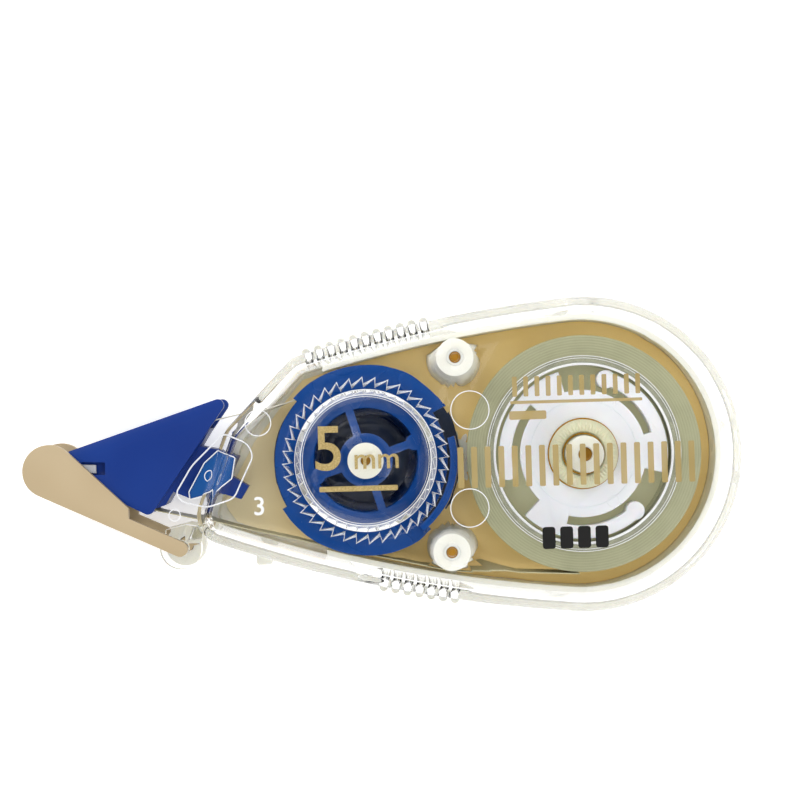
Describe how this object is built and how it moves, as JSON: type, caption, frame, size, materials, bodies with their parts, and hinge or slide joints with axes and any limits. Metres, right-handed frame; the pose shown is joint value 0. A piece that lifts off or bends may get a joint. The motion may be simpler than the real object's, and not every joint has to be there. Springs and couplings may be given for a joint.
{
  "type": "correction tape roller",
  "caption": "Small clear correction tape dispenser with two geared reels, a slipping clutch, a fixed side head with a thin blade and a flip cap.",
  "frame": {"origin": "centre of the overall length and width on the flat back face", "axes": "+X from the head's tip to the supply end, +Y across towards the head's upper side, +Z out of the clear front"},
  "size_m": [0.076, 0.0334, 0.014],
  "materials": {
    "clear_plastic": "clear polystyrene, polished mould",
    "ivory_plastic": "translucent ivory moulded plastic",
    "gold_plate": "champagne-gold pearlescent moulding",
    "beige_gear": "moulded acetal",
    "white_gear": "moulded acetal",
    "navy_plastic": "moulded",
    "blue_plastic": "moulded, smooth",
    "pearl_plastic": "pearl-white moulded",
    "clear_core": "clear moulded",
    "tape": "edge of wound correction tape",
    "liner": "glassine release liner",
    "head_plastic": "moulded, satin gloss",
    "white_blade": "soft white moulded blade",
    "beige_plastic": "moulded, fine satin"
  },
  "bodies": {
    "case": {"front_cover": "clear_plastic", "back_case": "ivory_plastic", "base_plate": "gold_plate", "fresh_tape_run": "tape", "used_liner_run": "liner", "head_body": "head_plastic", "nib_blade": "white_blade"},
    "supply_reel": {"tape_roll": "tape", "reel_core": "clear_core"},
    "clutch": {"supply_gear": "beige_gear", "clutch_disc": "pearl_plastic"},
    "idler": {"idler_gear": "white_gear"},
    "take_up": {"take_up_gear": "navy_plastic", "take_up_reel": "blue_plastic", "used_liner_winding": "liner"},
    "cap": {"cap": "beige_plastic"}
  },
  "joints": [
    {"name": "supply_spin", "type": "hinge", "parent": "case", "child": "supply_reel", "pos_m": [0.02136, 0, 0.0068], "axis": [0, 0, 1], "continuous": true},
    {"name": "clutch_spin", "type": "hinge", "parent": "case", "child": "clutch", "pos_m": [0.02136, 0, 0.0068], "axis": [0, 0, 1], "continuous": true},
    {"name": "idler_spin", "type": "hinge", "parent": "case", "child": "idler", "pos_m": [0.00737, 0, 0.0027], "axis": [0, 0, 1], "continuous": true},
    {"name": "take_up_spin", "type": "hinge", "parent": "case", "child": "take_up", "pos_m": [-0.00173, 0, 0.0068], "axis": [0, 0, 1], "continuous": true},
    {"name": "cap_flip", "type": "hinge", "parent": "case", "child": "cap", "pos_m": [-0.02164, -0.0088, 0.0068], "axis": [0, 0, 1], "range_deg": [0, 165]}
  ],
  "couplings": [
    {"joint": "clutch_spin", "follows": "supply_spin", "ratio": 0.94215},
    {"joint": "idler_spin", "follows": "supply_spin", "ratio": -4.4416},
    {"joint": "take_up_spin", "follows": "supply_spin", "ratio": 1.6364}
  ]
}
